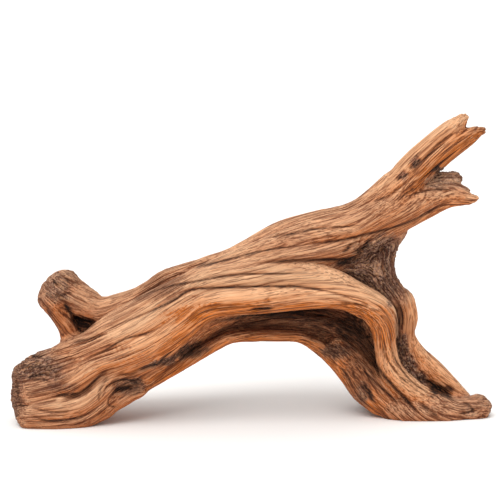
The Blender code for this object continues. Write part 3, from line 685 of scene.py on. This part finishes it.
def weathered_root_wood(settings):
    """Weathered root wood: dry, unsealed and washed bare, so it has no gloss of its own.

    Sun bleaches the wood to a pale tan, and a painted highlight makes raised wood and faces that point
    up paler still. The sheltered wood stays orange, and the undersides more so, partly as painted warm
    bounce light. Torn and once buried wood is grey-brown, and painted shade darkens the cracks, creases
    and hollows. Fine dark fibre lines follow the grain.
    """
    material = bpy.data.materials.new("weathered_root_wood")
    material.use_nodes = True
    tree = material.node_tree
    tree.nodes.clear()

    parts = {name: add_node(tree, "ShaderNodeAttribute", attribute_name=name).outputs
             for name in ("grain", "warm", "pale", "bark", "stain_and_shade", "hollow", "crease",
                          *LINES, *[name + "_strength" for name in LINES])}
    streaks = {}
    for name, length, width, detail in (
        ("bands", 120.0, 9.0, 2.0),
        ("streaks", 70.0, 2.6, 2.0),
        ("hairs", 40.0, 1.2, 1.0),
    ):
        place = add_node(tree, "ShaderNodeMapping",
                         {"Vector": parts["grain"]["Vector"], "Location": (length, width, width),
                          "Scale": (1.0 / length, 1.0 / width, 1.0 / width)})
        streaks[name] = add_node(tree, "ShaderNodeTexNoise",
                                 {"Vector": place.outputs[0], "Scale": 1.0, "Detail": detail,
                                  "Roughness": 0.6, "Distortion": 0.2}).outputs["Fac"]

    # Torn wood is wrinkled: dark lines where a coarse noise passes through its middle, sunk in the relief.
    # Their darkness is partly the wood's own and partly painted shade.
    place = add_node(tree, "ShaderNodeMapping",
                     {"Vector": parts["grain"]["Vector"], "Scale": (1 / 8.0, 1 / 4.0, 1 / 4.0)})
    wrinkle = add_node(tree, "ShaderNodeTexNoise",
                       {"Vector": place.outputs[0], "Scale": 1.0, "Detail": 3.0, "Roughness": 0.6,
                        "Distortion": 0.8})
    wrinkle = add_node(tree, "ShaderNodeMath", {0: wrinkle.outputs["Fac"], 1: 0.5}, operation="SUBTRACT")
    wrinkle = add_node(tree, "ShaderNodeMath", {0: wrinkle.outputs[0]}, operation="ABSOLUTE")
    wrinkle = add_node(tree, "ShaderNodeMapRange",
                       {"Value": wrinkle.outputs[0], "From Min": 0.07, "From Max": 0.015})
    wrinkle = add_node(tree, "ShaderNodeMath",
                       {0: wrinkle.outputs["Result"], 1: parts["bark"]["Fac"]},
                       operation="MULTIPLY").outputs[0]

    # Each family's thin line, from 0 beside it to its strength in its middle.
    thin = {}
    for name, (gap, _, width, _, _) in LINES.items():
        part = add_node(tree, "ShaderNodeMath", {0: parts[name]["Fac"]}, operation="FRACT")
        away = add_node(tree, "ShaderNodeMath", {0: part.outputs[0], 1: 0.5}, operation="SUBTRACT")
        away = add_node(tree, "ShaderNodeMath", {0: away.outputs[0]}, operation="ABSOLUTE")
        near = add_node(tree, "ShaderNodeMapRange",
                        {"Value": away.outputs[0], "From Min": 1.1 * width / gap,
                         "From Max": 0.3 * width / gap})
        thin[name] = add_node(tree, "ShaderNodeMath",
                              {0: near.outputs[0], 1: parts[name + "_strength"]["Fac"]},
                              operation="MULTIPLY").outputs[0]

    # Shares that a streak shifts: (its own number, the streak, how far the streak shifts it).
    shares = {}
    for name, streak, shift in (
        ("warm", "bands", 0.6),
        ("pale", "streaks", 0.35),
        ("stain_and_shade", "streaks", -0.5),
    ):
        swing = add_node(tree, "ShaderNodeMapRange",
                         {"Value": streaks[streak], "From Min": 0.3, "From Max": 0.7,
                          "To Min": -0.5 * shift, "To Max": 0.5 * shift})
        shares[name] = add_node(tree, "ShaderNodeMath",
                                {0: parts[name]["Fac"], 1: swing.outputs[0]},
                                operation="ADD", use_clamp=True).outputs[0]
    stain_and_shade_share = add_node(tree, "ShaderNodeMath", {0: shares["stain_and_shade"], 1: parts["stain_and_shade"]["Fac"]},
                       operation="MINIMUM")

    # The crumbs of torn wood, on the wood's own coordinates. The raised crumbs get a painted highlight and
    # the sunk ones painted shade.
    speck = add_node(tree, "ShaderNodeTexNoise",
                     {"Vector": add_node(tree, "ShaderNodeTexCoord").outputs["Object"],
                      "Scale": 420.0, "Detail": 3.0, "Roughness": 0.65}).outputs["Fac"]
    crumbs = add_node(tree, "ShaderNodeMath", {0: speck, 1: 0.5}, operation="SUBTRACT")
    crumbs = add_node(tree, "ShaderNodeMath", {0: crumbs.outputs[0], 1: parts["bark"]["Fac"]},
                      operation="MULTIPLY").outputs[0]

    # Layers from the bare wood up: what shows it, from none of it to all of it, how strong, and its colour.
    colour = add_node(tree, "ShaderNodeRGB").outputs[0]
    colour.default_value = settings.tan
    for value, none, full, strength, tint in (
        (shares["warm"], 0.0, 1.0, 1.0, settings.orange),
        (shares["pale"], 0.1, 1.0, 0.88, settings.pale),
        (parts["bark"]["Fac"], 0.0, 1.0, 0.85, settings.bark),
        # Painted highlight on the raised crumbs, and painted shade in the pits between them.
        (crumbs, 0.01, 0.08, 0.75, settings.pale),
        (crumbs, -0.05, -0.11, 0.70, settings.dirt_and_shade),
        (wrinkle, 0.15, 0.9, 0.90, settings.dirt_and_shade),
        (streaks["bands"], 0.48, 0.34, 0.32, settings.umber),
        (streaks["streaks"], 0.50, 0.32, 0.40, settings.umber),
        (streaks["hairs"], 0.47, 0.38, 0.60, settings.umber),
        (streaks["hairs"], 0.54, 0.64, 0.40, settings.pale),
        (thin["line"], 0.0, 1.0, 0.85, settings.umber),
        (thin["rib"], 0.0, 0.9, 0.90, settings.umber),
        # Painted shade in the hollows, in umber.
        (parts["hollow"]["Fac"], 0.1, 0.9, 0.60, settings.umber),
        (thin["split"], 0.0, 1.0, 0.88, settings.dirt_and_shade),
        # Painted shade along the cracks and folds.
        (parts["crease"]["Fac"], 0.1, 0.9, 0.92, settings.dirt_and_shade),
        # Real stains, and painted shade in the hollows, pockets and under ledges.
        (stain_and_shade_share.outputs[0], 0.0, 1.0, 0.97, settings.dirt_and_shade),
        (streaks["hairs"], 0.54, 0.62, 0.30, settings.tan),
    ):
        share = add_node(tree, "ShaderNodeMapRange",
                         {"Value": value, "From Min": none, "From Max": full, "To Max": strength})
        colour = add_node(tree, "ShaderNodeMix", {"Factor": share.outputs[0], 6: colour, 7: tint},
                          data_type="RGBA").outputs[2]

    # Raised fibres, sunk lines, and the crumbs and wrinkles of torn wood, as heights for the relief.
    relief = 0.0
    for value, low, high, height in (
        (streaks["streaks"], 0.2, 0.8, 0.6),
        (streaks["hairs"], 0.2, 0.8, 0.6),
        (thin["line"], 1.0, 0.0, 0.5),
        (thin["rib"], 1.0, 0.0, 0.4),
        (crumbs, -0.15, 0.15, 1.3),
        (wrinkle, 1.0, 0.0, 1.6),
    ):
        part = add_node(tree, "ShaderNodeMapRange",
                        {"Value": value, "From Min": low, "From Max": high, "To Max": height})
        relief = add_node(tree, "ShaderNodeMath", {0: part.outputs[0], 1: relief},
                          operation="ADD").outputs[0]
    bump = add_node(tree, "ShaderNodeBump", {"Height": relief, "Strength": 0.9, "Distance": 0.0015})
    dull = add_node(tree, "ShaderNodeMapRange",
                    {"Value": streaks["streaks"], "From Min": 0.3, "From Max": 0.7, "To Min": 0.85,
                     "To Max": 0.62})
    shader = add_node(tree, "ShaderNodeBsdfPrincipled",
                      {"Base Color": colour, "Roughness": dull.outputs[0],
                       "Normal": bump.outputs[0], "IOR": 1.45, "Specular IOR Level": 0.35})
    add_node(tree, "ShaderNodeOutputMaterial", {"Surface": shader.outputs[0]})
    return material


def plain_material(name, colour, roughness):
    """A plain painted board for the studio's floor: even in colour, with no gloss."""
    material = bpy.data.materials.new(name)
    material.use_nodes = True
    shader = material.node_tree.nodes["Principled BSDF"]
    shader.inputs["Base Color"].default_value = colour
    shader.inputs["Roughness"].default_value = roughness
    return material


class WoodSettings(bpy.types.PropertyGroup):
    grid: FloatProperty(name="Grid", description="Grid that fuses the strands", default=0.00135,
                        min=0.0008, unit="LENGTH")
    join_blend: FloatProperty(name="Join blend", description="How close two strands come to run together",
                              default=0.007, unit="LENGTH")
    flute_height: FloatProperty(name="Flutes", description="Height of the broad ridges along the grain",
                                default=0.0017, unit="LENGTH")
    fibre_height: FloatProperty(name="Fibres", description="Height of the raised fibres",
                                default=0.0004, unit="LENGTH")
    torn_height: FloatProperty(name="Torn wood", description="Height of the crumpled, torn places",
                               default=0.0022, unit="LENGTH")
    triangles: IntProperty(name="Triangles", description="Most triangles in the finished wood",
                           default=194000)
    tan: FloatVectorProperty(name="Tan", description="Bare wood", subtype="COLOR", size=4,
                             default=from_hex("c57a4b"))
    # Pale is also the painted highlight on raised wood, upward faces and raised crumbs.
    pale: FloatVectorProperty(name="Pale", description="Sun-bleached wood", subtype="COLOR", size=4,
                              default=from_hex("f3c195"))
    # Orange is also partly painted warm bounce light on the undersides.
    orange: FloatVectorProperty(name="Orange", description="Sheltered wood", subtype="COLOR", size=4,
                                default=from_hex("e27a26"))
    bark: FloatVectorProperty(name="Bark", description="Torn and once buried wood", subtype="COLOR",
                              size=4, default=from_hex("c09a8b"))
    # Umber is also the painted shade in the hollows.
    umber: FloatVectorProperty(name="Umber", description="Fibre lines", subtype="COLOR", size=4,
                               default=from_hex("68341a"))
    # This dark colour is dirt in the splits and stains, and also the painted shade in cracks, creases,
    # hollows and pits.
    dirt_and_shade: FloatVectorProperty(name="Dirt", description="Dirt in cracks and hollows", subtype="COLOR",
                              size=4, default=from_hex("1d0d06"))


class StudioSettings(bpy.types.PropertyGroup):
    distance: FloatProperty(name="Distance", description="From the camera to the wood's middle",
                            default=1.6, unit="LENGTH")
    elevation: FloatProperty(name="Elevation", description="How far the camera looks down",
                             default=math.radians(9.0), subtype="ANGLE", unit="ROTATION")
    key_power: FloatProperty(name="Key light", description="Power of the soft light above", default=2.15)
    sky: FloatProperty(name="Sky", description="Strength of the even white light all round", default=0.42)


class DRIFTWOOD_OT_wood(bpy.types.Operator):
    """Grow the driftwood from its strands and sculpt its surface"""

    bl_idname = "driftwood.wood"
    bl_label = "Driftwood"

    def execute(self, context):
        settings = context.scene.driftwood
        strands = [Strand(*row) for row in STRANDS.values()]
        mesh = fused_bundle([strand.stations for strand in strands], settings.grid / MM)
        surface = Surface(mesh)
        wood, move, numbers = sculpt(surface, strands, settings)
        surface.places += move
        surface.places[:, 2] = np.maximum(surface.places[:, 2], 0.0)
        surface.write()
        # How hollow each place is, near and over a wider reach; the material paints shade into hollows with
        # it.
        hollow = np.clip(hollowness(surface, 5) / 0.6 + hollowness(surface, 40) / 2.5, -1.0, 1.0)
        up = surface.normals[:, 2]
        for name, values in numbers.items():
            put_numbers(mesh, name, values)
        # Painted light: faces that point up are made paler, as a painted highlight, and faces that point
        # down more orange, partly as painted warm bounce light. Raised wood is made paler as a painted
        # highlight, and hollows less pale as painted shade.
        put_numbers(mesh, "warm", np.clip(wood[:, 0] - 0.45 * up, 0.0, 1.0))
        put_numbers(mesh, "pale", np.clip(wood[:, 1] + 0.4 * up - 0.1 - 0.4 * hollow, 0.0, 1.0))
        put_numbers(mesh, "bark", np.clip(wood[:, 2], 0.0, 1.0))
        put_numbers(mesh, "stain_and_shade", np.clip(wood[:, 3], 0.0, 1.0))
        put_numbers(mesh, "hollow", hollow)
        piece = bpy.data.objects.new("driftwood_root", mesh)
        context.scene.collection.objects.link(piece)
        thin = piece.modifiers.new("thin", "DECIMATE")
        thin.ratio = settings.triangles / (2.0 * len(mesh.polygons))
        finished = bpy.data.meshes.new_from_object(
            piece.evaluated_get(context.evaluated_depsgraph_get()))
        piece.modifiers.clear()
        piece.data = finished
        finished.name = "driftwood_root"
        finished.materials.clear()
        finished.materials.append(weathered_root_wood(settings))
        finished.shade_smooth()
        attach(piece, "root")
        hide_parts(WOOD)
        return {"FINISHED"}


class DRIFTWOOD_OT_studio(bpy.types.Operator):
    """Set the floor, the lights and the camera"""

    bl_idname = "driftwood.studio"
    bl_label = "Studio"

    def execute(self, context):
        settings = context.scene.driftwood_studio
        scene = context.scene
        board = bmesh.new()
        bmesh.ops.create_grid(board, x_segments=1, y_segments=1, size=FLOOR_REACH)
        mesh = bpy.data.meshes.new("floor")
        board.to_mesh(mesh)
        board.free()
        floor = bpy.data.objects.new("floor", mesh)
        scene.collection.objects.link(floor)
        mesh.materials.append(plain_material("studio_floor", from_hex("f6f5f3"), 0.9))

        world = bpy.data.worlds.new("studio")
        scene.world = world
        world.use_nodes = True
        world.node_tree.nodes["Background"].inputs["Color"].default_value = (1.0, 0.985, 0.965, 1.0)
        world.node_tree.nodes["Background"].inputs["Strength"].default_value = settings.sky

        for name, towards, width, power in (
            ("key", (-0.45, -0.75, 1.25), 50.0, settings.key_power),
            ("top", (0.15, 0.25, 1.0), 80.0, 0.6 * settings.key_power),
        ):
            light = bpy.data.lights.new(name, "SUN")
            light.angle = math.radians(width)
            light.energy = power
            lamp = bpy.data.objects.new(name, light)
            lamp.location = Vector(towards)
            lamp.rotation_euler = Vector(towards).to_track_quat("Z", "Y").to_euler()
            scene.collection.objects.link(lamp)

        lens = bpy.data.cameras.new("camera")
        lens.sensor_width = 36.0
        lens.clip_end = 1000.0
        lens.lens = lens.sensor_width * settings.distance / VIEW_WIDTH
        camera = bpy.data.objects.new("camera", lens)
        away = Vector((0.0, -math.cos(settings.elevation), math.sin(settings.elevation)))
        camera.location = LOOK_AT + away * settings.distance
        camera.rotation_euler = away.to_track_quat("Z", "Y").to_euler()
        scene.collection.objects.link(camera)
        scene.camera = camera
        scene.view_settings.view_transform = "Standard"
        return {"FINISHED"}


class DRIFTWOOD_PT_panel(bpy.types.Panel):
    bl_idname = "DRIFTWOOD_PT_panel"
    bl_label = "Driftwood"
    bl_space_type = "VIEW_3D"
    bl_region_type = "UI"
    bl_category = "Driftwood"

    def draw(self, context):
        for settings, operator in (
            (context.scene.driftwood, DRIFTWOOD_OT_wood),
            (context.scene.driftwood_studio, DRIFTWOOD_OT_studio),
        ):
            box = self.layout.box()
            for name in settings.bl_rna.properties.keys():
                if name not in {"rna_type", "name"}:
                    box.prop(settings, name)
            box.operator(operator.bl_idname)


CLASSES = (WoodSettings, StudioSettings, DRIFTWOOD_OT_wood, DRIFTWOOD_OT_studio, DRIFTWOOD_PT_panel)


def register():
    for cls in CLASSES:
        bpy.utils.register_class(cls)
    bpy.types.Scene.driftwood = PointerProperty(type=WoodSettings)
    bpy.types.Scene.driftwood_studio = PointerProperty(type=StudioSettings)


def unregister():
    del bpy.types.Scene.driftwood
    del bpy.types.Scene.driftwood_studio
    for cls in reversed(CLASSES):
        bpy.utils.unregister_class(cls)


def main():
    register()
    bpy.ops.driftwood.studio()
    bpy.ops.driftwood.wood()


if __name__ == "__main__":
    main()
